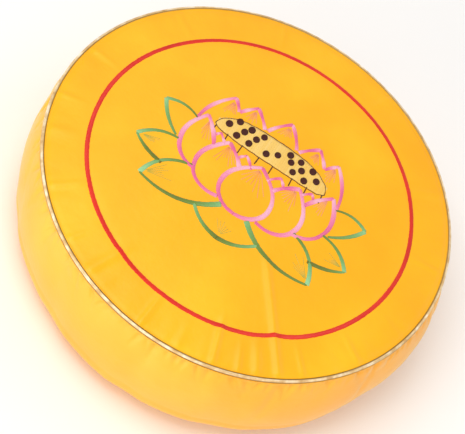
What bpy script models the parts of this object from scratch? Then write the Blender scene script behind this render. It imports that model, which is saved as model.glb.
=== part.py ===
# A round floor cushion of satin: a filled body with a crowned top, a drawn-in
# seam, a soft side band and a flat base, and a gold cord sewn into the top seam.
# Metres, +Z up. The origin is the middle of the outline, at the base.
import math

import bmesh
import bpy

# Driving dimensions
SEAM_RADIUS = 0.200       # circle of the cord's centre, round the top edge
SEAM_HEIGHT = 0.116       # the cord's centre above the base
CROWN_RISE = 0.011        # middle of the top above the cord's centre
CORD_RADIUS = 0.0019      # the sewn cord is 3.8 mm thick
CLEARANCE = 0.0003        # free space between the cord and the cloth
BASE_SIDE_RADIUS = 0.204  # side of the cushion where the base edge starts to turn in
BAND_BOW = 0.0062         # how far the filling pushes the band out at mid height
BASE_EDGE_RADIUS = 0.033  # soft turn from the band to the base
BAND_LEAN = 0.003         # the base has slipped a little to one side under the top
BAND_PUSH = 0.0025        # the filling has shifted to the same side, most at mid height

# How finely the cloth is cut up
SEGMENTS = 72
BAND_STEPS = 8
GROOVE_STEPS = 6
BASE_EDGE_STEPS = 6
CORD_SIDES = 8

# Rings of the top panel and of the flat base, as shares of their radius
TOP_RINGS = (0.12, 0.25, 0.40, 0.55, 0.68, 0.79, 0.88, 0.94, 0.975)
BASE_RINGS = (0.66, 0.33)
CROWN_POWER = 2.4
GROOVE_START = math.radians(135)
GROOVE_END = math.radians(315)

# Soft creases in the band: where, how wide and how deep the cloth sinks in
CREASES = (
    # angle (deg), half width (deg), depth (m)
    (188, 7, 0.0016),
    (214, 6, 0.0012),
    (243, 8, 0.0018),
    (271, 6, 0.0014),
    (296, 8, 0.0016),
    (338, 7, 0.0012),
    (25, 8, 0.0014),
    (80, 9, 0.0012),
    (128, 8, 0.0014),
)
WAVE_COUNT = 5            # slow swells of the filling round the band
WAVE_DEPTH = 0.0008


def crease_depth(angle):
    """How far the cloth sinks in at an angle round the band."""
    depth = WAVE_DEPTH * math.sin(WAVE_COUNT * angle)
    for centre, half_width, deep in CREASES:
        away = (math.degrees(angle) - centre + 180) % 360 - 180
        if abs(away) < half_width:
            depth += deep * 0.5 * (1 + math.cos(math.pi * away / half_width))
    return depth


def groove_radius():
    """The seam's groove, which clears the cord between two of its points too."""
    half_step = 0.5 * (GROOVE_END - GROOVE_START) / GROOVE_STEPS
    return (CORD_RADIUS + CLEARANCE) / math.cos(half_step)


def top_profile():
    """Rings of the crowned top panel, from near the middle out to the seam."""
    lift = groove_radius() * math.sin(GROOVE_START)
    edge = SEAM_RADIUS + groove_radius() * math.cos(GROOVE_START)
    rings = []
    for share in TOP_RINGS:
        rise = (CROWN_RISE - lift) * (1 - share ** CROWN_POWER)
        rings.append((edge * share, SEAM_HEIGHT + lift + rise, 0.0))
    return rings


def groove_profile():
    """Rings of the drawn-in seam, a half round that holds the cord."""
    rings = []
    for step in range(GROOVE_STEPS + 1):
        turn = GROOVE_START + (GROOVE_END - GROOVE_START) * step / GROOVE_STEPS
        radius = SEAM_RADIUS + groove_radius() * math.cos(turn)
        rings.append((radius, SEAM_HEIGHT + groove_radius() * math.sin(turn), 0.0))
    return rings


def band_profile():
    """Rings of the side band, bowed out by the filling, down to the base edge."""
    start_radius, start_height, _ = groove_profile()[-1]
    rings = []
    for step in range(1, BAND_STEPS + 1):
        down = step / BAND_STEPS
        radius = start_radius + (BASE_SIDE_RADIUS - start_radius) * down
        radius += BAND_BOW * 4 * down * (1 - down)
        height = start_height + (BASE_EDGE_RADIUS - start_height) * down
        rings.append((radius, height, min(1.0, 4 * down)))
    return rings


def base_profile():
    """Rings of the soft base edge and of the flat base."""
    inner = BASE_SIDE_RADIUS - BASE_EDGE_RADIUS
    rings = []
    for step in range(1, BASE_EDGE_STEPS + 1):
        turn = 0.5 * math.pi * step / BASE_EDGE_STEPS
        radius = inner + BASE_EDGE_RADIUS * math.cos(turn)
        height = BASE_EDGE_RADIUS * (1 - math.sin(turn))
        rings.append((radius, height, math.cos(turn)))
    for share in BASE_RINGS:
        rings.append((inner * share, 0.0, 0.0))
    return rings


def body_point(angle, ring):
    """A point of the cloth: the ring's place, its creases and the band's lean."""
    radius, height, soft = ring
    out = radius - soft * crease_depth(angle)
    down = max(0.0, 1 - height / SEAM_HEIGHT)
    lean = BAND_LEAN * down + BAND_PUSH * 4 * down * (1 - down)
    return (out * math.cos(angle) + lean, out * math.sin(angle), height)


def full_profile():
    """All rings of the cloth, from the middle of the top round to the base."""
    return top_profile() + groove_profile() + band_profile() + base_profile()


def segment_angles():
    """The angles at which both pieces have their points."""
    return [2 * math.pi * index / SEGMENTS for index in range(SEGMENTS)]


def outline_middle():
    """The middle of the cushion's outline, seen from above, before it is centred."""
    points = [body_point(angle, ring) for angle in segment_angles() for ring in full_profile()]
    across = [point[0] for point in points]
    deep = [point[1] for point in points]
    return (0.5 * (min(across) + max(across)), 0.5 * (min(deep) + max(deep)), 0.0)


def new_object(name, bm, material):
    """A named object from a mesh, centred, with its normals out and shaded smooth."""
    bmesh.ops.translate(bm, verts=bm.verts, vec=[-value for value in outline_middle()])
    bmesh.ops.recalc_face_normals(bm, faces=bm.faces)
    mesh = bpy.data.meshes.new(name)
    bm.to_mesh(mesh)
    bm.free()
    mesh.materials.append(material)
    mesh.shade_smooth()
    obj = bpy.data.objects.new(name, mesh)
    bpy.context.scene.collection.objects.link(obj)
    return obj


def cloth_material(name, colour, roughness, metallic):
    """A plain finish with the colour, roughness and metallic value of a piece."""
    material = bpy.data.materials.new(name)
    material.use_nodes = True
    shader = material.node_tree.nodes["Principled BSDF"]
    shader.inputs["Base Color"].default_value = (*colour, 1.0)
    shader.inputs["Roughness"].default_value = roughness
    shader.inputs["Metallic"].default_value = metallic
    return material


def join_rings(bm, first, second):
    """A strip of four-sided faces between two rings of points."""
    count = len(first)
    for index in range(count):
        after = (index + 1) % count
        bm.faces.new((first[index], first[after], second[after], second[index]))


def make_cushion():
    """The filled body, one closed solid."""
    bm = bmesh.new()
    rings = []
    for ring in full_profile():
        rings.append([bm.verts.new(body_point(angle, ring)) for angle in segment_angles()])
    for first, second in zip(rings, rings[1:]):
        join_rings(bm, first, second)
    crown = bm.verts.new((0.0, 0.0, SEAM_HEIGHT + CROWN_RISE))
    base = bm.verts.new((BAND_LEAN, 0.0, 0.0))
    for index in range(SEGMENTS):
        after = (index + 1) % SEGMENTS
        bm.faces.new((crown, rings[0][index], rings[0][after]))
        bm.faces.new((base, rings[-1][after], rings[-1][index]))
    satin = cloth_material("yellow_satin", (0.98, 0.53, 0.035), 0.42, 0.0)
    return new_object("cushion", bm, satin)


def make_piping():
    """The gold cord that is sewn in round the top edge."""
    bm = bmesh.new()
    rings = []
    for angle in segment_angles():
        ring = []
        for side in range(CORD_SIDES):
            turn = 2 * math.pi * side / CORD_SIDES
            radius = SEAM_RADIUS + CORD_RADIUS * math.cos(turn)
            height = SEAM_HEIGHT + CORD_RADIUS * math.sin(turn)
            ring.append(bm.verts.new((radius * math.cos(angle), radius * math.sin(angle), height)))
        rings.append(ring)
    for index in range(SEGMENTS):
        join_rings(bm, rings[index], rings[(index + 1) % SEGMENTS])
    gold = cloth_material("gold_thread", (0.80, 0.56, 0.20), 0.38, 0.6)
    return new_object("piping", bm, gold)


def main():
    for old in list(bpy.data.objects):
        bpy.data.objects.remove(old, do_unlink=True)
    make_cushion()
    make_piping()


main()
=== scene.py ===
import math

import bpy
import numpy as np
from mathutils import Matrix, Vector


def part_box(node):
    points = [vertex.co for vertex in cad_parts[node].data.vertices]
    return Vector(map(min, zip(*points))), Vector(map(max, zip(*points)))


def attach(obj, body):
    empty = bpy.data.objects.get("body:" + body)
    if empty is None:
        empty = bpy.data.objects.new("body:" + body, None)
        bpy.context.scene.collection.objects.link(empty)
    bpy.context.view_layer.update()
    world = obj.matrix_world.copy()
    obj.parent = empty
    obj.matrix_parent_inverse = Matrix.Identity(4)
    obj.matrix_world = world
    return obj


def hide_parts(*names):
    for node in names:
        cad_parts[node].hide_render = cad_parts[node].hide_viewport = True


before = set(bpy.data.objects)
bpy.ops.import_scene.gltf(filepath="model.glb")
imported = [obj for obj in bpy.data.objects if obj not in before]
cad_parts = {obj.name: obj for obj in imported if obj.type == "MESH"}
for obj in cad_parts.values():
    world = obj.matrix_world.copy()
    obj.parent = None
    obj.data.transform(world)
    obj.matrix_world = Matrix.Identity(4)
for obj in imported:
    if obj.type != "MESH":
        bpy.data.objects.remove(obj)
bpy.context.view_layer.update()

# A round boxed floor cushion of yellow satin, with a gold cord in its top seam and an embroidered lotus.
mm = 0.001

# What the frame says: the cord's circle gives the middle, the radius and the height of the seam
cordLow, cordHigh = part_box("piping")
middleX = 0.5 * (cordLow.x + cordHigh.x)
middleY = 0.5 * (cordLow.y + cordHigh.y)
seamHeight = 0.5 * (cordLow.z + cordHigh.z)
cordRadius = 0.5 * (cordHigh.z - cordLow.z)
seamRadius = 0.5 * (cordHigh.x - cordLow.x) - cordRadius
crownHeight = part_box("cushion")[1].z


def deselectAll():
    if bpy.context.object and bpy.context.object.mode != "OBJECT":
        bpy.ops.object.mode_set(mode="OBJECT")
    bpy.ops.object.select_all(action="DESELECT")


def pick(obj):
    deselectAll()
    obj.select_set(True)
    bpy.context.view_layer.objects.active = obj


def toOrigin(obj):
    # the place goes into the mesh, so that the object itself sits at the origin
    pick(obj)
    bpy.ops.object.transform_apply(location=True, rotation=True, scale=True)


def hexColour(text):
    # an sRGB hex value as linear light
    parts = [int(text[i:i + 2], 16) / 255 for i in (1, 3, 5)]
    linear = [p / 12.92 if p <= 0.04045 else ((p + 0.055) / 1.055) ** 2.4 for p in parts]
    return (*linear, 1.0)


def newMaterial(name):
    material = bpy.data.materials.new(name)
    material.use_nodes = True
    return material, material.node_tree.nodes["Principled BSDF"]


def addNode(material, kind, settings=None, values=None, links=None):
    # one node with its settings, its socket values and its links from other nodes' outputs
    tree = material.node_tree
    node = tree.nodes.new(kind)
    for key, value in (settings or {}).items():
        setattr(node, key, value)
    for key, value in (values or {}).items():
        node.inputs[key].default_value = value
    for key, source in (links or {}).items():
        tree.links.new(source, node.inputs[key])
    return node


def setRamp(node, stops):
    ramp = node.color_ramp
    while len(ramp.elements) > 1:
        ramp.elements.remove(ramp.elements[-1])
    ramp.elements[0].position = stops[0][0]
    ramp.elements[0].color = hexColour(stops[0][1])
    for place, text in stops[1:]:
        ramp.elements.new(place).color = hexColour(text)


def plug(material, source, shader, socket):
    material.node_tree.links.new(source, shader.inputs[socket])


def waveScale(pitch):
    # the wave texture's scale that puts its lines a pitch apart
    return 2 * math.pi / (20 * pitch)


def pointsOf(mesh):
    # the mesh's points, one row each
    points = np.zeros(len(mesh.vertices) * 3)
    mesh.vertices.foreach_get("co", points)
    return points.reshape(-1, 3)


def cornersOf(mesh):
    # which point each face corner stands on
    corners = np.zeros(len(mesh.loops), np.int32)
    mesh.loops.foreach_get("vertex_index", corners)
    return corners


def normalsOut():
    # for the active object, in edit mode
    bpy.ops.mesh.select_all(action="SELECT")
    bpy.ops.mesh.normals_make_consistent(inside=False)


# camera and light come first, so that every stage can be looked at

cameraLook = {
    "focalPixels": 2000.0,       # a long lens: the far side is hardly smaller than the near side
    "imageWidth": 465,
    "distanceInRadii": 9.236,    # from the middle of the seam's circle, in seam radii
    "elevation": 51.76,          # degrees over the floor
    "roll": 34.09,               # degrees, which tips the cushion down to the right
    "pan": 0.556,
    "tilt": 0.900,
    "sensorWidth": 36.0,
    "clipEnd": 50.0,
}


def makeCamera(look):
    bpy.ops.object.camera_add()
    camera = bpy.context.object
    camera.name = "photoCamera"
    camera.data.sensor_width = look["sensorWidth"]
    camera.data.lens = look["focalPixels"] / look["imageWidth"] * camera.data.sensor_width
    camera.data.clip_end = look["clipEnd"]
    up, roll = math.radians(look["elevation"]), math.radians(look["roll"])
    pan, tilt = math.radians(look["pan"]), math.radians(look["tilt"])
    back = Vector((0.0, -math.cos(up), math.sin(up)))
    right = Vector((1.0, 0.0, 0.0))
    axes = Matrix((right, right.cross(-back), -back))
    axes = Matrix.Rotation(-roll, 3, "Z") @ axes
    axes = Matrix.Rotation(pan, 3, "Y") @ axes
    axes = Matrix.Rotation(-tilt, 3, "X") @ axes
    place = Vector((middleX, middleY, seamHeight)) + back * look["distanceInRadii"] * seamRadius
    turned = Matrix((axes[0], axes[1], -axes[2])).transposed().to_4x4()
    camera.matrix_world = Matrix.Translation(place) @ turned
    bpy.context.scene.camera = camera


lightLook = {
    "key": {"place": (-0.5, -0.4, 2.0), "size": 1.2, "power": 20.0, "colour": "#FFFFFF"},
    "side": {"place": (-1.3, -1.5, 0.35), "size": 0.6, "power": 6.0, "colour": "#FFFAF0"},
    "front": {"place": (-0.6, -2.0, 0.5), "size": 1.2, "power": 12.5, "colour": "#FFFDF8"},
    "right": {"place": (1.4, -1.5, 0.35), "size": 0.8, "power": 6.0, "colour": "#FFC890"},
    "back": {"place": (1.3, 1.2, 1.3), "size": 1.2, "power": 5.0, "colour": "#FFFFFF"},
    "room": 0.62,                # how bright the white surroundings are
    "aim": (0.0, 0.0, 0.08),     # the lights look at the middle of the cushion
    "floorSize": 12.0,
}


def makeLight(name, look):
    bpy.ops.object.light_add(type="AREA", location=look["place"])
    light = bpy.context.object
    light.name = name + "Light"
    light.data.size = look["size"]
    light.data.energy = look["power"]
    light.data.color = hexColour(look["colour"])[:3]
    aim = Vector(lightLook["aim"]) - Vector(look["place"])
    light.rotation_euler = aim.to_track_quat("-Z", "Y").to_euler()


def makeRoom(look):
    world = bpy.data.worlds.new("room")
    bpy.context.scene.world = world
    world.use_nodes = True
    world.node_tree.nodes["Background"].inputs["Color"].default_value = (1.0, 1.0, 1.0, 1.0)
    world.node_tree.nodes["Background"].inputs["Strength"].default_value = look["room"]
    for name in ("key", "side", "front", "right", "back"):
        makeLight(name, look[name])
    deselectAll()
    bpy.ops.mesh.primitive_plane_add(size=look["floorSize"], location=(0.0, 0.0, 0.0))
    floor = bpy.context.object
    floor.name = "paleFloor"
    material, shader = newMaterial("matt white floor paint")
    # rolled matt paint: no gloss, a soft shadow only
    shader.inputs["Base Color"].default_value = hexColour("#F7F6F4")
    shader.inputs["Roughness"].default_value = 0.9
    floor.data.materials.append(material)


bpy.context.scene.view_settings.view_transform = "Standard"
makeCamera(cameraLook)
makeRoom(lightLook)
print("camera, light and floor are in place")


# the satin cushion

cushionForm = {
    "segments": 840,
    "topRings": 46, "topDraw": 1.35,      # the rings lie closer together towards the seam
    "grooveSteps": 8,
    "bandRings": 34, "bandDraw": 1.25,
    "edgeRings": 14,
    "baseRings": 8,
    "crownPower": 2.4,
    "clearance": 0.3 * mm,       # between the cloth and the cord
    "grooveTilt": 45,            # degrees: the seam's half round is open outwards and up by this much
    "baseSideRadius": 204 * mm,
    "baseEdgeRadius": 33 * mm,
    "bandBow": 6.2 * mm,
    "bandLean": 3.0 * mm,
    "bandPush": 2.5 * mm,        # the filling has shifted to one side, most at mid height
    "slowSwell": 0.8 * mm,       # slow swells of the filling in the band
    "slowSwellCount": 5,
    "softOver": 20 * mm,         # the band's creases die out over this height at the seam and the base
    "lowSwell": 0.9 * mm, "lowSwellCounts": (9, 14, 19),     # sags over the base edge
    "baseFade": 25 * mm,         # folds die out over this height at the base
    "sagTop": 70 * mm, "sagOver": 50 * mm,
}
# the relief of the top panel, where a share is one of the way from the middle to the seam
topLook = {
    "ridgeFadeIn": 30, "ridgeFadeOut": 4,      # mm
    # height in mm and two crossed waves: how fast each runs along x and y, and where it starts
    "uneven": [(0.5, (23, 0, 1.1), (0, 27, 0.4)), (0.3, (67, 19, 0), (-13, 59, 0))],
    "unevenPower": 6,            # the unevenness dies out towards the seam
    "gathers": 0.6 * mm, "gatherCounts": (31, 44, 53, 67), "gathersFrom": 0.84, "gathersOver": 0.1,
    "cordDip": 0.9 * mm,         # the panel rolls down beside the cord
    "dipFrom": 0.975, "dipOver": 0.02, "dipEnd": 0.992, "dipEndOver": 0.008,
}
# soft creases in the band: angle in degrees, half width in degrees, depth in mm
bandCreases = [
    (188, 7, 1.6), (214, 6, 1.2), (243, 8, 1.8), (271, 6, 1.4), (296, 8, 1.6),
    (338, 7, 1.2), (25, 8, 1.4), (80, 9, 1.2), (128, 8, 1.4),
    (336, 24, 2.8),              # the band hangs a little slack at the right
]
# low ridges where the top panel is pulled tight towards the seam:
# angle in degrees, width in mm, rise in mm, inner and outer end in mm from the middle
topRidges = [
    (-73, 3.2, 1.7, 140, 199), (-66, 2.6, 1.0, 160, 199), (-61, 4.6, 1.5, 152, 199),
    (-55, 3.8, 1.7, 70, 199), (-48, 2.8, 1.0, 158, 199), (-83, 4.4, 0.9, 160, 199),
    (-94, 3.0, 1.4, 150, 199), (-113, 5.0, 1.3, 140, 199), (-123, 3.0, 0.8, 165, 199),
    (-139, 3.6, 1.0, 150, 199), (-157, 5.0, 0.7, 158, 199), (-169, 3.0, 0.8, 162, 199),
    (-31, 3.2, 1.0, 155, 199), (-15, 4.4, 0.7, 160, 199), (11, 3.2, 0.9, 157, 199),
    (37, 5.0, 0.8, 150, 199), (71, 3.6, 0.7, 160, 199), (108, 3.2, 0.9, 158, 199),
    (141, 4.4, 0.8, 152, 199), (172, 3.2, 0.9, 160, 199),
]
# every fold that starts at the seam: how far its place and its slant vary, where it is full,
# and how many of its own widths and lengths it reaches
foldLook = {"jitter": 0.4, "slant": 0.5, "fullAt": 2.5 * mm, "reach": 3}
puckerLook = {
    "count": 165,
    "narrow": 1.5 * mm, "wide": 2.8 * mm,
    "short": 4 * mm, "long": 15 * mm,
    "shallow": 0.5 * mm, "deep": 2.9 * mm,
    "seed": 11,
}
# soft wrinkles that run down the band from the seam, wider and shallower than the puckers
wrinkleLook = {
    "count": 34,
    "narrow": 3.5 * mm, "wide": 9 * mm,
    "short": 25 * mm, "long": 75 * mm,
    "shallow": 0.5 * mm, "deep": 1.7 * mm,
    "seed": 14,
}
ringLook = {
    "radius": 159.3 * mm,
    "shift": (-0.2 * mm, -0.8 * mm),   # sewn a little off the middle
    "width": 4.3 * mm,
    "rise": 0.6 * mm,
    "step": 1.2 * mm,
    "pull": 0.55 * mm,           # how far the stitches draw the cloth in
    "pullWidth": 4.5 * mm,
    "kinkAngle": -55,            # degrees, where a crease shifts the ring inwards
    "kinkWidth": 5,
    "kinkDepth": 1.8 * mm,
    "wander": 0.5 * mm, "wanderCounts": (2, 3, 7),
    "widthSwell": 0.08, "shadeSwell": 0.35,
}


def grooveRadius():
    return cordRadius + cushionForm["clearance"]


def topEdge():
    # where the top panel meets the seam: radius, and height over the cord's centre
    lift = grooveRadius() * math.sin(math.radians(cushionForm["grooveTilt"]))
    return seamRadius - lift, lift


def turnOver(angle):
    # an angle as one between minus and plus half a turn
    return (angle + math.pi) % (2 * math.pi) - math.pi


def ease(value):
    value = np.clip(value, 0.0, 1.0)
    return value * value * (3 - 2 * value)


def swell(angle, counts, seed):
    # slow uneven waves round the cushion, the same each run
    dice = np.random.default_rng(seed)
    total = 0.0
    for count in counts:
        total = total + np.sin(count * angle + dice.uniform(0, 2 * math.pi)) * dice.uniform(0.5, 1.0)
    return total / len(counts)


def ringRadius(angle):
    away = np.degrees(turnOver(angle - math.radians(ringLook["kinkAngle"]))) / ringLook["kinkWidth"]
    kink = ringLook["kinkDepth"] * np.exp(-away * away)
    return ringLook["radius"] - kink + ringLook["wander"] * swell(angle, ringLook["wanderCounts"], 3)


def ringDistance(x, y):
    # how far a place lies outside the middle line of the red ring
    x, y = x - ringLook["shift"][0], y - ringLook["shift"][1]
    return np.hypot(x, y) - ringRadius(np.arctan2(y, x))


def topHeight(x, y):
    # height of the top panel over the floor, at a place given from the middle of the seam's circle
    look = topLook
    radius, angle = np.hypot(x, y), np.arctan2(y, x)
    edge, lift = topEdge()
    share = np.minimum(radius / edge, 1.0)
    crown = crownHeight - seamHeight - lift
    height = seamHeight + lift + crown * (1 - share ** cushionForm["crownPower"])
    for degrees, width, rise, inner, outer in topRidges:
        across = turnOver(angle - math.radians(degrees)) * radius / (width * mm)
        fadeIn = ease((radius / mm - inner) / look["ridgeFadeIn"])
        fadeOut = ease((outer - radius / mm) / look["ridgeFadeOut"])
        height = height + rise * mm * np.exp(-across * across) * (fadeIn * fadeOut)
    uneven = 0.0
    for rise, first, second in look["uneven"]:
        wave = rise * np.sin(first[0] * x + first[1] * y + first[2])
        uneven = uneven + wave * np.sin(second[0] * x + second[1] * y + second[2])
    height = height + uneven * mm * (1 - share ** look["unevenPower"])
    gathers = look["gathers"] * swell(angle, look["gatherCounts"], 5)
    height = height + gathers * ease((share - look["gathersFrom"]) / look["gathersOver"])
    pull = ringDistance(x, y) / ringLook["pullWidth"]
    height = height - ringLook["pull"] * np.exp(-pull * pull)
    dip = look["cordDip"] * ease((share - look["dipFrom"]) / look["dipOver"])
    return height - dip * (1 - ease((share - look["dipEnd"]) / look["dipEndOver"]))


def cushionProfile():
    # (radius, height) from the middle of the top, down through the seam, to the middle of the base
    form, groove = cushionForm, grooveRadius()
    edge = topEdge()[0]
    points = [(0.0, crownHeight)]
    for k in range(1, form["topRings"]):
        points.append((edge * (1 - (1 - k / form["topRings"]) ** form["topDraw"]), crownHeight))
    for k in range(form["grooveSteps"] + 1):
        turn = math.radians(180 - form["grooveTilt"] + 180 * k / form["grooveSteps"])
        points.append((seamRadius + groove * math.cos(turn), seamHeight + groove * math.sin(turn)))
    startRadius, startHeight = points[-1]
    for k in range(1, form["bandRings"] + 1):
        down = (k / form["bandRings"]) ** form["bandDraw"]
        radius = startRadius + (form["baseSideRadius"] - startRadius) * down
        radius += form["bandBow"] * 4 * down * (1 - down)
        points.append((radius, startHeight + (form["baseEdgeRadius"] - startHeight) * down))
    inner = form["baseSideRadius"] - form["baseEdgeRadius"]
    for k in range(1, form["edgeRings"] + 1):
        turn = 0.5 * math.pi * k / form["edgeRings"]
        height = form["baseEdgeRadius"] * (1 - math.sin(turn))
        points.append((inner + form["baseEdgeRadius"] * math.cos(turn), height))
    for k in range(1, form["baseRings"] + 1):
        points.append((inner * (1 - k / form["baseRings"]), 0.0))
    return points


def bandSoftness(height):
    # 0 at the seam and where the base lies flat, 1 over most of the band
    below = seamHeight - grooveRadius() - height
    return ease(below / cushionForm["softOver"]) * ease(height / cushionForm["softOver"])


def pulledIn(look, angle, below):
    # short or long folds that start at the seam, each with its own place, width, length, depth and slant
    dice = np.random.default_rng(look["seed"])
    depth = np.zeros_like(angle)
    jitter, slantest, reach = foldLook["jitter"], foldLook["slant"], foldLook["reach"]
    near = below < reach * look["long"]
    for k in range(look["count"]):
        centre = 2 * math.pi * (k + dice.uniform(-jitter, jitter)) / look["count"]
        width = dice.uniform(look["narrow"], look["wide"])
        length = dice.uniform(look["short"], look["long"])
        deep = dice.uniform(look["shallow"], look["deep"])
        slant = dice.uniform(-slantest, slantest)
        across = (turnOver(angle - centre) * seamRadius - slant * below) / width
        along = ease(below / foldLook["fullAt"]) * np.exp(-(below / length) ** 2)
        fold = deep * np.exp(-across * across) * along
        depth = depth + np.where(near & (np.abs(across) < reach), fold, 0.0)
    return depth


def bandInset(angle, height):
    # how far the band's cloth sinks in: the slow swells, the creases, the sags and the folds at the seam
    form = cushionForm
    depth = form["slowSwell"] * np.sin(form["slowSwellCount"] * angle)
    for degrees, half, deep in bandCreases:
        away = np.abs(np.degrees(turnOver(angle - math.radians(degrees)))) / half
        depth = depth + np.where(away < 1, deep * mm * 0.5 * (1 + np.cos(math.pi * away)), 0.0)
    depth = depth * bandSoftness(height)
    offBase = ease(height / form["baseFade"])
    sags = form["lowSwell"] * swell(angle, form["lowSwellCounts"], 8) * offBase
    depth = depth + sags * ease((form["sagTop"] - height) / form["sagOver"])
    below = seamHeight - grooveRadius() - height
    for look in (puckerLook, wrinkleLook):
        depth = depth + pulledIn(look, angle, below) * offBase
    return depth


def shapeCushion(points):
    # every point of the spun form goes to its place on the soft cloth
    radius, angle = np.hypot(points[:, 0], points[:, 1]), np.arctan2(points[:, 1], points[:, 0])
    height = points[:, 2]
    onTop = height > seamHeight + grooveRadius()
    grooveEnd = seamHeight - topEdge()[1]
    out = radius - np.where(height < grooveEnd + 0.01 * mm, bandInset(angle, height), 0.0)
    down = np.maximum(0.0, 1 - height / seamHeight)
    lean = cushionForm["bandLean"] * down + cushionForm["bandPush"] * 4 * down * (1 - down)
    placed = np.empty_like(points)
    placed[:, 0] = out * np.cos(angle) + lean + middleX
    placed[:, 1] = out * np.sin(angle) + middleY
    placed[:, 2] = np.where(onTop, topHeight(points[:, 0], points[:, 1]), height)
    return placed, onTop, angle


def clothMap(mesh, onTop, angle, height):
    # the weave lies flat on the top and runs round on the band, in metres of real cloth
    layer = mesh.uv_layers.new(name="weave")
    corners, co = cornersOf(mesh), pointsOf(mesh)
    starts = np.zeros(len(mesh.polygons), np.int32)
    counts = np.zeros(len(mesh.polygons), np.int32)
    mesh.polygons.foreach_get("loop_start", starts)
    mesh.polygons.foreach_get("loop_total", counts)
    face = np.repeat(np.arange(len(starts)), counts)
    firstCorner = corners[starts]
    first = angle[firstCorner][face]
    along = (first + turnOver(angle[corners] - first)) * seamRadius
    flat = (onTop[firstCorner] | (height[firstCorner] < 0.5 * mm))[face]
    across = np.where(flat, co[corners, 0], along)
    other = np.where(flat, co[corners, 1], co[corners, 2])
    layer.data.foreach_set("uv", np.stack([across, other], 1).ravel())


# the same satin twice: on the top, and in the band, which is glossier and has its tones painted paler as a
# painted sheen
satinLook = {
    "top": {
        "name": "polyester satin, dyed golden yellow",
        "tones": ("#F9AB06", "#FBB20A", "#FCBA14"),
        "roughness": 0.42, "gloss": 0.32,
    },
    "band": {
        "name": "polyester satin, dyed golden yellow, cut across",
        # painted sheen: the band's tones are paler than the top's, for the whitish shine the band catches
        # at a slant
        "tones": ("#F9AC1C", "#FBB226", "#FDB834"),
        "roughness": 0.44, "gloss": 0.55,
    },
}


def satinMaterial(look):
    material, shader = newMaterial(look["name"])
    # long floats of smooth filament: a broad soft shine, paler where it is seen along the cloth
    coords = addNode(material, "ShaderNodeTexCoord")
    cloud = addNode(material, "ShaderNodeTexNoise", None, {"Scale": 12.0, "Detail": 4.0},
                    {"Vector": coords.outputs["Object"]})
    tone = addNode(material, "ShaderNodeValToRGB", None, None, {"Fac": cloud.outputs["Fac"]})
    setRamp(tone, list(zip((0.3, 0.52, 0.7), look["tones"])))
    plug(material, tone.outputs["Color"], shader, "Base Color")
    # warp floats about 0.25 mm apart, drawn at 0.8 mm so that the cloth's run still shows
    stretch = addNode(material, "ShaderNodeMapping", None, {"Scale": (1.0, 0.12, 1.0)},
                      {"Vector": coords.outputs["UV"]})
    floats = addNode(material, "ShaderNodeTexNoise", None,
                     {"Scale": 1 / (0.8 * mm), "Detail": 1.0}, {"Vector": stretch.outputs["Vector"]})
    slubs = addNode(material, "ShaderNodeTexNoise", None, {"Scale": 1 / (7 * mm), "Detail": 3.0},
                    {"Vector": coords.outputs["Object"]})
    fine = addNode(material, "ShaderNodeBump", None, {"Strength": 0.18, "Distance": 0.12 * mm},
                   {"Height": floats.outputs["Fac"]})
    soft = addNode(material, "ShaderNodeBump", None, {"Strength": 0.5, "Distance": 0.6 * mm},
                   {"Height": slubs.outputs["Fac"], "Normal": fine.outputs["Normal"]})
    plug(material, soft.outputs["Normal"], shader, "Normal")
    # the floats run round the band, so its shine is drawn out up and down it
    run = addNode(material, "ShaderNodeTangent", {"direction_type": "UV_MAP", "uv_map": "weave"})
    plug(material, run.outputs["Tangent"], shader, "Tangent")
    shader.inputs["Anisotropic"].default_value = 0.75
    shader.inputs["Anisotropic Rotation"].default_value = 0.25
    shader.inputs["Roughness"].default_value = look["roughness"]
    shader.inputs["Specular IOR Level"].default_value = look["gloss"]
    shader.inputs["Sheen Weight"].default_value = 0.45
    shader.inputs["Sheen Roughness"].default_value = 0.35
    shader.inputs["Sheen Tint"].default_value = hexColour("#FFEFC8")
    return material


def makeCushion():
    profile = cushionProfile()
    mesh = bpy.data.meshes.new("satinCushion")
    edges = [(k, k + 1) for k in range(len(profile) - 1)]
    mesh.from_pydata([(radius, 0.0, height) for radius, height in profile], edges, [])
    cushion = bpy.data.objects.new("satinCushion", mesh)
    bpy.context.scene.collection.objects.link(cushion)
    pick(cushion)
    bpy.ops.object.mode_set(mode="EDIT")
    bpy.ops.mesh.select_all(action="SELECT")
    steps = cushionForm["segments"]
    bpy.ops.mesh.spin(steps=steps, angle=2 * math.pi, center=(0, 0, 0), axis=(0, 0, 1))
    bpy.ops.mesh.select_all(action="SELECT")
    bpy.ops.mesh.remove_doubles(threshold=0.01 * mm)
    normalsOut()
    bpy.ops.object.mode_set(mode="OBJECT")
    points = pointsOf(mesh)
    placed, onTop, angle = shapeCushion(points)
    mesh.vertices.foreach_set("co", placed.ravel())
    mesh.update()
    clothMap(mesh, onTop, angle, points[:, 2])
    mesh.shade_smooth()
    for cut in ("top", "band"):
        mesh.materials.append(satinMaterial(satinLook[cut]))
    # faces below the seam get the band's satin, with its painted sheen
    middles = np.zeros(len(mesh.polygons) * 3)
    mesh.polygons.foreach_get("center", middles)
    onBand = middles[2::3] < seamHeight
    mesh.polygons.foreach_set("material_index", onBand.astype(np.int32))
    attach(cushion, "root")
    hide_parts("cushion")
    print("satin cushion:", len(mesh.polygons), "faces")


makeCushion()


# the gold cord in the seam

cordLook = {
    "plies": 3,
    "layLength": 7.5 * mm,       # one turn of a ply round the cord
    "stepsPerPly": 6,
    "sides": 12,
    "valley": 0.16,              # how deep the plies' valleys are, as a share of the radius
    "valleyPower": 1.5,
    "valleyShade": 0.45,         # how dark the painted shade is in the plies' valleys
    "face": 58,                  # degrees up from outward, the middle of the side that stays bright, with no painted shade
    "bright": 28, "brown": 62,   # degrees away from there where the painted shade starts and where it is full brown
}


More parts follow.
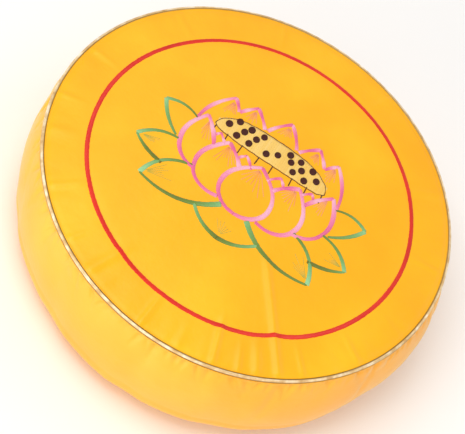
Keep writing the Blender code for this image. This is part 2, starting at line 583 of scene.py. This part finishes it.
def goldMaterial():
    material, shader = newMaterial("gold metallised thread, twisted")
    # thin metallised film wound on a core: bright flecks, and painted shade in brown on the sides that lie
    # against the cloth and in the plies' valleys
    coords = addNode(material, "ShaderNodeTexCoord")
    flecks = addNode(material, "ShaderNodeTexNoise", None, {"Scale": 1 / (9 * mm), "Detail": 3.0},
                     {"Vector": coords.outputs["Object"]})
    tone = addNode(material, "ShaderNodeValToRGB", None, None, {"Fac": flecks.outputs["Fac"]})
    setRamp(tone, [(0.30, "#CCA266"), (0.5, "#E8CB98"), (0.66, "#FBEBCB")])
    # painted shade: where the cord lies against the cloth and in its valleys, its colour is mixed towards a
    # shadowed brown
    paintedShade = addNode(material, "ShaderNodeAttribute", {"attribute_name": "paintedShade"})
    turned = addNode(material, "ShaderNodeMix", {"data_type": "RGBA"}, {"B": hexColour("#A37E40")},
                     {"Factor": paintedShade.outputs["Fac"], "A": tone.outputs["Color"]})
    plug(material, turned.outputs["Result"], shader, "Base Color")
    wraps = addNode(material, "ShaderNodeTexNoise", None, {"Scale": 1 / (0.5 * mm), "Detail": 1.0},
                    {"Vector": coords.outputs["Object"]})
    bump = addNode(material, "ShaderNodeBump", None, {"Strength": 0.5, "Distance": 0.15 * mm},
                   {"Height": wraps.outputs["Fac"]})
    plug(material, bump.outputs["Normal"], shader, "Normal")
    shader.inputs["Metallic"].default_value = 0.15
    shader.inputs["Roughness"].default_value = 0.45
    return material


def makeCord():
    turns = round(2 * math.pi * seamRadius / cordLook["layLength"])
    steps = turns * cordLook["plies"] * cordLook["stepsPerPly"]
    deselectAll()
    bpy.ops.mesh.primitive_torus_add(
        location=(0, 0, 0), major_radius=seamRadius, minor_radius=cordRadius,
        major_segments=steps, minor_segments=cordLook["sides"])
    cord = bpy.context.object
    cord.name = "goldCord"
    mesh = cord.data
    points = pointsOf(mesh)
    angle = np.arctan2(points[:, 1], points[:, 0])
    outward = np.hypot(points[:, 0], points[:, 1]) - seamRadius
    turn = np.arctan2(points[:, 2], outward)
    ply = np.abs(np.sin(0.5 * (cordLook["plies"] * (turn - turns * angle))))
    size = cordRadius * (1 - cordLook["valley"] * (1 - ply) ** cordLook["valleyPower"])
    radius = seamRadius + size * np.cos(turn)
    placed = np.stack([
        radius * np.cos(angle) + middleX, radius * np.sin(angle) + middleY,
        seamHeight + size * np.sin(turn)], 1)
    mesh.vertices.foreach_set("co", placed.ravel())
    mesh.update()
    # painted shade: brown away from the bright upper outer face, where the cord lies against the cloth, and
    # in the plies' valleys
    away = np.abs(np.degrees(turnOver(turn - math.radians(cordLook["face"]))))
    paintedShade = ease((away - cordLook["bright"]) / (cordLook["brown"] - cordLook["bright"]))
    paintedShade = np.maximum(paintedShade, cordLook["valleyShade"] * (1 - ply) ** 2)
    mesh.attributes.new("paintedShade", "FLOAT", "POINT").data.foreach_set("value", paintedShade)
    mesh.shade_smooth()
    mesh.materials.append(goldMaterial())
    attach(cord, "root")
    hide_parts("piping")
    print("gold cord:", turns, "turns,", len(mesh.polygons), "faces")


makeCord()


# embroidery: raised bands of satin stitch that follow the top panel

stitchForm = {
    "across": (-1.0, -0.72, -0.38, 0.0, 0.38, 0.72, 1.0),
    "sink": 0.4 * mm,            # the underside lies a little inside the cloth
    "ragged": 0.07,              # how much the stitches' ends vary
    "fullWidth": 2 * mm,         # a narrower band also rises less
}


class StitchWork:
    # gathers many bands of one thread, then makes them one piece
    def __init__(self, name, seed):
        self.name, self.dice = name, np.random.default_rng(seed)
        self.points, self.faces, self.maps, self.shades = [], [], [], []

    def band(self, path, widths, rise, shades, closed=False):
        path = np.asarray(path, float)
        count = len(path)
        widths, shades = np.broadcast_to(widths, count), np.broadcast_to(shades, count)
        if closed:
            run = np.roll(path, -1, 0) - np.roll(path, 1, 0)
        else:
            run = np.gradient(path, axis=0)
        run = run / np.maximum(np.linalg.norm(run, axis=1, keepdims=True), 1e-9)
        side = np.stack([-run[:, 1], run[:, 0]], 1)
        lengths = np.concatenate([[0.0], np.cumsum(np.linalg.norm(np.diff(path, axis=0), axis=1))])
        ragged = 1 + stitchForm["ragged"] * self.dice.uniform(-1, 1, (count, 2))
        first = len(self.points)
        across = stitchForm["across"]
        for k in range(count):
            full = rise * min(1.0, widths[k] / stitchForm["fullWidth"])
            # the domed upper side from edge to edge, then the flat underside back
            row = [(v, ragged[k, 0 if v < 0 else 1], full * math.sqrt(max(0.0, 1 - v * v))) for v in across]
            row += [(v, 1.0, -stitchForm["sink"]) for v in (across[-1], across[0])]
            for v, end, lift in row:
                x, y = path[k] + side[k] * (0.5 * widths[k] * v * end)
                self.points.append((x + middleX, y + middleY, float(topHeight(x, y)) + lift))
                self.maps.append((lengths[k], 0.5 * widths[k] * v))
                self.shades.append(shades[k])
        ring = len(across) + 2
        for k in range(count if closed else count - 1):
            here, after = first + k * ring, first + ((k + 1) % count) * ring
            for j in range(ring):
                beside = (j + 1) % ring
                self.faces.append((here + j, after + j, after + beside, here + beside))
        if not closed:
            last = first + (count - 1) * ring
            self.faces.append(tuple(first + j for j in range(ring)))
            self.faces.append(tuple(last + j for j in reversed(range(ring))))

    def finish(self, material, slot):
        mesh = bpy.data.meshes.new(self.name)
        mesh.from_pydata(self.points, [], self.faces)
        shade = mesh.attributes.new("shade", "FLOAT", "POINT")
        shade.data.foreach_set("value", np.asarray(self.shades, float))
        layer = mesh.uv_layers.new(name="stitches")
        layer.data.foreach_set("uv", np.asarray(self.maps, float)[cornersOf(mesh)].ravel())
        mesh.shade_smooth()
        mesh.materials.append(material)
        piece = bpy.data.objects.new(self.name, mesh)
        bpy.context.scene.collection.objects.link(piece)
        pick(piece)
        bpy.ops.object.mode_set(mode="EDIT")
        normalsOut()
        bpy.ops.object.mode_set(mode="OBJECT")
        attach(piece, "root")
        print(self.name + ":", len(mesh.polygons), "faces")


def threadMaterial(name, stops, stitchPitch, roughness=0.36, bumpStrength=0.55):
    # rayon embroidery thread, laid side by side: silky, with fine lines across the band, whose darker parts
    # are painted shade between the stitches
    material, shader = newMaterial(name)
    shade = addNode(material, "ShaderNodeAttribute", {"attribute_name": "shade"})
    tone = addNode(material, "ShaderNodeValToRGB", None, None, {"Fac": shade.outputs["Fac"]})
    setRamp(tone, stops)
    coords = addNode(material, "ShaderNodeTexCoord")
    lines = addNode(material, "ShaderNodeTexWave", {"wave_type": "BANDS", "bands_direction": "X"},
                    {"Scale": waveScale(stitchPitch), "Distortion": 1.2, "Detail": 1.0},
                    {"Vector": coords.outputs["UV"]})
    # painted shade: the colour is darkened along the lines, in the grooves between stitches
    grooveShade = addNode(material, "ShaderNodeMix", {"data_type": "RGBA", "blend_type": "MULTIPLY"},
                   {"Factor": 0.22}, {"A": tone.outputs["Color"], "B": lines.outputs["Color"]})
    plug(material, grooveShade.outputs["Result"], shader, "Base Color")
    bump = addNode(material, "ShaderNodeBump", None, {"Strength": bumpStrength, "Distance": 0.2 * mm},
                   {"Height": lines.outputs["Fac"]})
    plug(material, bump.outputs["Normal"], shader, "Normal")
    shader.inputs["Roughness"].default_value = roughness
    shader.inputs["Specular IOR Level"].default_value = 0.3
    shader.inputs["Sheen Weight"].default_value = 0.08
    return material


def makeRing():
    work = StitchWork("redRing", 21)
    count = round(2 * math.pi * ringLook["radius"] / ringLook["step"])
    angles = np.arange(count) * 2 * math.pi / count
    radius = ringRadius(angles)
    path = np.stack([radius * np.cos(angles), radius * np.sin(angles)], 1) + ringLook["shift"]
    widths = ringLook["width"] * (1 + ringLook["widthSwell"] * swell(angles, (5, 11, 17), 4))
    shades = 0.5 + ringLook["shadeSwell"] * swell(angles, (3, 8, 21), 6)
    work.band(path, widths, ringLook["rise"], shades, closed=True)
    red = [(0.0, "#D02010"), (0.5, "#E42A12"), (1.0, "#F2381A")]
    work.finish(threadMaterial("scarlet rayon thread, satin stitch", red, 0.7 * mm), "cushion")


makeRing()


# Sizes of the lotus, in mm from the middle of the flower. The flower is the same left and right,
# so a row with an x of its own is also made with that x turned round.
flowerShift = np.array((0.0, -3.0))    # from the middle of the seam's circle, in mm
# a petal is widest at this share of its length: round below it, and drawn to a point above it
petalLook = {
    "width": 4.2, "rise": 0.65, "widest": 0.39, "point": 2.3, "step": 1.0,
    "backRow": 3, "backWidth": 0.85,           # from this row on the petals stand behind, in finer stitches
    "smallRow": 6, "smallWidth": 0.8,
    "widthSwell": 0.16, "widthWaves": 1.1,     # waves of the width along one side
    "shadeSwell": 0.42, "shadeWaves": 0.8,
}
petals = [
    # root, tip, half width outer and inner side, from what share outer and inner side show
    {"root": (0, -44), "tip": (-1, 18), "outer": 26, "inner": 26, "outerFrom": 0.0, "innerFrom": 0.0},
    {"root": (21, -38), "tip": (39, 22), "outer": 28, "inner": 15.5, "outerFrom": 0.0, "innerFrom": 0.60},
    {"root": (46, -24), "tip": (70, 36), "outer": 24, "inner": 8.5, "outerFrom": 0.02, "innerFrom": 0.50},
    {"root": (57, -10), "tip": (58, 72), "outer": 20, "inner": 19, "outerFrom": 0.45, "innerFrom": 0.84},
    {"root": (34, 0), "tip": (35, 76), "outer": 20, "inner": 23, "outerFrom": 0.78, "innerFrom": 0.76},
    {"root": (0, 5), "tip": (0, 83), "outer": 20, "inner": 20, "outerFrom": 0.69, "innerFrom": 0.69},
    {"root": (17, -12), "tip": (19, 20), "outer": 10, "inner": 10, "outerFrom": 0.78, "innerFrom": 0.62},
    {"root": (46, -8), "tip": (51, 26), "outer": 9, "inner": 9, "outerFrom": 0.86, "innerFrom": 0.70},
]


def evenly(points, step):
    # the same line with its points a step apart
    points = np.asarray(points, float)
    lengths = np.concatenate([[0.0], np.cumsum(np.linalg.norm(np.diff(points, axis=0), axis=1))])
    count = max(3, int(round(lengths[-1] / step)) + 1)
    at = np.linspace(0, lengths[-1], count)
    return np.stack([np.interp(at, lengths, points[:, k]) for k in (0, 1)], 1)


def petalSide(petal, mirror, side, start):
    # one side of a petal's outline, from its root to its tip, in mm
    root = np.array(petal["root"], float) * (mirror, 1)
    tip = np.array(petal["tip"], float) * (mirror, 1)
    axis = tip - root
    length = np.linalg.norm(axis)
    axis = axis / length
    outward = np.array([axis[1], -axis[0]]) * mirror
    share = np.linspace(start, 1.0, 90)
    half = petal["outer"] if side > 0 else petal["inner"]
    widest = petalLook["widest"]
    lower = np.sqrt(np.clip(1 - ((widest - share) / widest) ** 2, 0, 1))
    upper = 1 - np.clip((share - widest) / (1 - widest), 0, 1) ** petalLook["point"]
    belly = np.where(share < widest, lower, upper)
    return root + np.outer(share * length, axis) + np.outer(side * half * belly, outward)


def mirrors(x):
    # a row more than 5 mm off the middle is made on both sides
    return (1, -1) if x > 5 else (1,)


def makePetals():
    work, look = StitchWork("pinkPetals", 31), petalLook
    for row, petal in enumerate(petals):
        width = look["width"]
        if row >= look["backRow"]:
            width *= look["backWidth"]
        if row >= look["smallRow"]:
            width *= look["smallWidth"]
        for mirror in mirrors(petal["tip"][0]):
            for side, start in ((1, petal["outerFrom"]), (-1, petal["innerFrom"])):
                path = evenly(petalSide(petal, mirror, side, start), look["step"])
                turn = 2 * math.pi * np.linspace(0, 1, len(path))
                phase = work.dice.uniform(0, 2 * math.pi)
                widths = width * (1 + look["widthSwell"] * np.sin(look["widthWaves"] * turn + phase))
                shades = 0.5 + look["shadeSwell"] * np.sin(look["shadeWaves"] * turn + phase)
                work.band((path + flowerShift) * mm, widths * mm, look["rise"] * mm, shades)
    pink = [(0.0, "#E86398"), (0.35, "#F681AB"), (0.7, "#FB9DBE"), (1.0, "#FFC2D5")]
    work.finish(threadMaterial("variegated pink rayon thread, satin stitch", pink, 0.6 * mm), "cushion")


leafLook = {"rise": 0.6, "step": 1.0, "weight": 1.2}
# each leaf's edges: from, to, how far the edge bows out to its left, then its widths and its shades
# at its start, middle and end
leafEdges = [
    {"from": (77, 26), "to": (111, 26), "bow": 5, "widths": (1.6, 2.6, 3.2), "shades": (0.1, 0.5, 0.8)},
    {"from": (111, 26), "to": (84, -5), "bow": 3, "widths": (3.6, 3.2, 2.0), "shades": (0.9, 0.6, 0.5)},
    {"from": (78, -7), "to": (114, -27), "bow": 6, "widths": (2.0, 3.0, 3.6), "shades": (0.3, 0.5, 0.9)},
    {"from": (114, -27), "to": (80, -41), "bow": 3, "widths": (1.8, 3.4, 3.6), "shades": (0.7, 0.15, 0.0)},
    {"from": (55, -24), "to": (91, -63), "bow": 9, "widths": (2.6, 3.0, 4.0), "shades": (0.2, 0.6, 1.0)},
    {"from": (91, -63), "to": (14, -43), "bow": 12, "widths": (2.0, 3.6, 4.8), "shades": (0.4, 0.15, 0.8)},
    {"from": (34, -59), "to": (0, -76), "bow": 4, "widths": (2.8, 3.1, 4.2), "shades": (0.8, 0.55, 0.1)},
]


def bowedLine(start, end, bow):
    # a smooth arc between two places, bowed to the left of the way it goes
    start, end = np.array(start, float), np.array(end, float)
    run = end - start
    left = np.array([-run[1], run[0]]) / np.linalg.norm(run)
    share = np.linspace(0, 1, 60)
    return start + np.outer(share, run) + np.outer(4 * bow * share * (1 - share), left)


def makeLeaves():
    work = StitchWork("greenLeaves", 41)
    for edge in leafEdges:
        for mirror in (1, -1):
            line = bowedLine(edge["from"], edge["to"], edge["bow"]) * (mirror, 1)
            path = evenly(line, leafLook["step"])
            share = np.linspace(0, 1, len(path))
            widths = np.interp(share, (0, 0.5, 1), edge["widths"]) * leafLook["weight"]
            shades = np.interp(share, (0, 0.5, 1), edge["shades"])
            work.band((path + flowerShift) * mm, widths * mm, leafLook["rise"] * mm, shades)
    green = [(0.0, "#6E7420"), (0.4, "#74943E"), (0.7, "#7CB26A"), (1.0, "#A4DDA0")]
    work.finish(threadMaterial("variegated green rayon thread, satin stitch", green, 0.6 * mm), "cushion")


makePetals()
makeLeaves()


# the seed pod: a pale stitched field, a brown outline with short ticks, and dark seeds; sizes in mm

podLook = {
    "halfWidth": 61, "bottom": 26,
    "waver": 0.5,                # the outline wanders by this much
    "easing": 6,                 # how often its corners are eased
    "fillRise": 0.25, "fillRow": 2.4, "fillInset": 0.8, "fillStep": 2.0,
    "fillWidth": 2.76,           # more than a row, so that the rows close up
    "lineWidth": 1.0, "lineRise": 0.7,
    "tickWidth": 1.3, "tickStart": 0.5, "tickCurve": 0.0014,
    "tickLengths": (8.25, 12.1), "tickSlant": 1,
    "seedDiameter": 7.2, "seedRise": 1.1, "seedLift": 0.25,
    "seedWide": 0.96, "seedTall": 1.12,
    "seedShares": (0.93, 1.06),  # the smallest and the largest seed
    "seedWander": (0.6, 0.9),    # how far a seed is off its place, across and up
}
podTicks = (-59, -45, -28, -9, 6, 27, 43, 59)
# rows of seeds: height in mm, and the seeds' places across in mm
seedRows = [
    (49, (-42, -29, -16, 14, 26, 40)),
    (41.5, (-49, -34, -20, 4, 18, 31, 48)),
    (33.5, (-38, -24, -6, 24, 37)),
]
# the right half of the pod's outline, in mm: a low dome, a blunt end and a flatter bottom
podHalf = [(0, 56), (27, 55), (45, 51), (57, 43), (61.5, 33), (54, 28.5), (30, 26.5), (0, 26)]


def podEdge():
    # the pod's outline, once round, with its corners eased and a hand's slight waver
    half = np.array(podHalf, float)
    whole = evenly(np.concatenate([half, half[::-1] * (-1, 1)]), 1.0)[:-1]
    for _ in range(podLook["easing"]):
        whole = 0.5 * whole + 0.25 * (np.roll(whole, 1, 0) + np.roll(whole, -1, 0))
    turn = np.arange(len(whole)) * 2 * math.pi / len(whole)
    waver = np.stack([swell(turn, (9, 17, 23), 12), swell(turn, (11, 19, 29), 13)], 1)
    return whole + podLook["waver"] * waver


def makePod():
    look, outline = podLook, podEdge()
    fill = StitchWork("podField", 51)
    for x in np.arange(-look["halfWidth"] + 2, look["halfWidth"] - 1, look["fillRow"]):
        near = outline[np.abs(outline[:, 0] - x) < look["fillRow"]]
        bottom, top = near[:, 1].min() + look["fillInset"], near[:, 1].max() - look["fillInset"]
        path = (evenly([(x, bottom), (x, top)], look["fillStep"]) + flowerShift) * mm
        shade = fill.dice.uniform(0.2, 0.9)
        fill.band(path, look["fillWidth"] * mm, look["fillRise"] * mm, shade)
    cream = [(0.0, "#F6C45C"), (0.5, "#F9CC68"), (1.0, "#FAD27A")]
    fill.finish(threadMaterial("cream rayon thread, filling stitch", cream, 1.1 * mm, 0.45, 0.3), "cushion")
    line = StitchWork("podOutline", 52)
    rise = look["lineRise"] * mm
    line.band((outline + flowerShift) * mm, look["lineWidth"] * mm, rise, 0.5, closed=True)
    for x in podTicks:
        top = look["bottom"] + look["tickStart"] + look["tickCurve"] * x * x
        slant = line.dice.uniform(-look["tickSlant"], look["tickSlant"])
        bottom = top - line.dice.uniform(*look["tickLengths"])
        tick = (evenly([(x, top), (x + slant, bottom)], 1.0) + flowerShift) * mm
        line.band(tick, look["tickWidth"] * mm, rise, 0.1)
    brown = [(0.0, "#5A360E"), (1.0, "#7C4F16")]
    line.finish(threadMaterial("brown rayon thread, running stitch", brown, 1.5 * mm), "cushion")


def seedMaterial():
    material, shader = newMaterial("dark plum rayon thread, padded satin stitch")
    # threads laid straight across each seed: a silky line down each dome, with painted shade in the darker
    # stripes between the threads
    coords = addNode(material, "ShaderNodeTexCoord")
    lines = addNode(material, "ShaderNodeTexWave", {"wave_type": "BANDS", "bands_direction": "X"},
                    {"Scale": waveScale(0.6 * mm), "Distortion": 0.8},
                    {"Vector": coords.outputs["Object"]})
    # painted shade: the stripes run from dark, between the threads, to lighter on the threads
    tone = addNode(material, "ShaderNodeValToRGB", None, None, {"Fac": lines.outputs["Fac"]})
    setRamp(tone, [(0.0, "#30100A"), (1.0, "#521F14")])
    plug(material, tone.outputs["Color"], shader, "Base Color")
    bump = addNode(material, "ShaderNodeBump", None, {"Strength": 0.5, "Distance": 0.2 * mm},
                   {"Height": lines.outputs["Fac"]})
    plug(material, bump.outputs["Normal"], shader, "Normal")
    shader.inputs["Roughness"].default_value = 0.45
    shader.inputs["Specular IOR Level"].default_value = 0.25
    return material


def makeSeeds():
    # one seed is a round dome pressed flat, and the rest are its copies, each with its own mesh
    deselectAll()
    size = 0.5 * podLook["seedDiameter"] * mm
    bpy.ops.mesh.primitive_uv_sphere_add(segments=20, ring_count=10, radius=size, location=(0, 0, 0))
    first = bpy.context.object
    flat = podLook["seedRise"] / (0.5 * podLook["seedDiameter"])
    first.scale = (podLook["seedWide"], podLook["seedTall"], flat)
    toOrigin(first)
    first.data.shade_smooth()
    seeds = []
    wanderX, wanderY = podLook["seedWander"]
    dice = np.random.default_rng(61)
    for height, places in seedRows:
        for across in places:
            x = (across + flowerShift[0] + dice.uniform(-wanderX, wanderX)) * mm
            y = (height + flowerShift[1] + dice.uniform(-wanderY, wanderY)) * mm
            seed = first.copy()
            seed.data = first.data.copy()
            bpy.context.scene.collection.objects.link(seed)
            z = float(topHeight(x, y)) + podLook["seedLift"] * mm
            seed.location = (x + middleX, y + middleY, z)
            seed.scale = Vector((1, 1, 1)) * dice.uniform(*podLook["seedShares"])
            seeds.append(seed)
    bpy.data.objects.remove(first, do_unlink=True)
    deselectAll()
    for seed in seeds:
        seed.select_set(True)
    bpy.context.view_layer.objects.active = seeds[0]
    bpy.ops.object.join()
    piece = bpy.context.object
    piece.name = "podSeeds"
    toOrigin(piece)
    piece.data.materials.append(seedMaterial())
    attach(piece, "root")
    print("seeds:", len(seeds))


makePod()
makeSeeds()


# fine running-stitch rays at the petals' tips and in the leaves

rayLook = {
    "width": 0.65, "rise": 0.18, "step": 1.5,
    "perPetal": 7, "perLeaf": 6,
    "nearest": 1.5, "farthest": 3.5,           # how far from the fan's middle its rays start
}
# where a fan of rays starts, its middle direction and spread in degrees, shortest and longest ray in mm
petalFans = [((-1, 15), -92, 70, 15, 29), ((37, 19), -102, 60, 12, 24), ((66, 31), -107, 48, 12, 22),
             ((57, 68), -95, 45, 10, 18), ((35, 72), -90, 46, 8, 14), ((0, 79), -90, 56, 9, 16)]
leafFans = [((88, -59), 145, 40, 12, 24), ((0, -72), 90, 70, 9, 15), ((110, -25), 176, 30, 8, 16)]


def makeRays(name, thread, fans, count, stops, seed):
    work, look = StitchWork(name, seed), rayLook
    for start, middle, spread, short, long in fans:
        for mirror in mirrors(start[0]):
            for k in range(count):
                turn = math.radians(middle + spread * (k / (count - 1) - 0.5))
                reach = work.dice.uniform(short, long)
                way = np.array([math.cos(turn) * mirror, math.sin(turn)])
                off = work.dice.uniform(look["nearest"], look["farthest"])
                at = np.array(start, float) * (mirror, 1) + way * off
                path = (evenly([at, at + way * reach], look["step"]) + flowerShift) * mm
                work.band(path, look["width"] * mm, look["rise"] * mm, work.dice.uniform(0, 1))
    work.finish(threadMaterial(thread, stops, 2.0 * mm), "cushion")


apricot = [(0.0, "#EE8A5A"), (1.0, "#F5A27A")]
olive = [(0.0, "#B9AA38"), (1.0, "#D2B548")]
makeRays("petalRays", "apricot rayon thread, running stitch", petalFans, rayLook["perPetal"], apricot, 71)
makeRays("leafRays", "pale olive rayon thread, running stitch", leafFans, rayLook["perLeaf"], olive, 72)
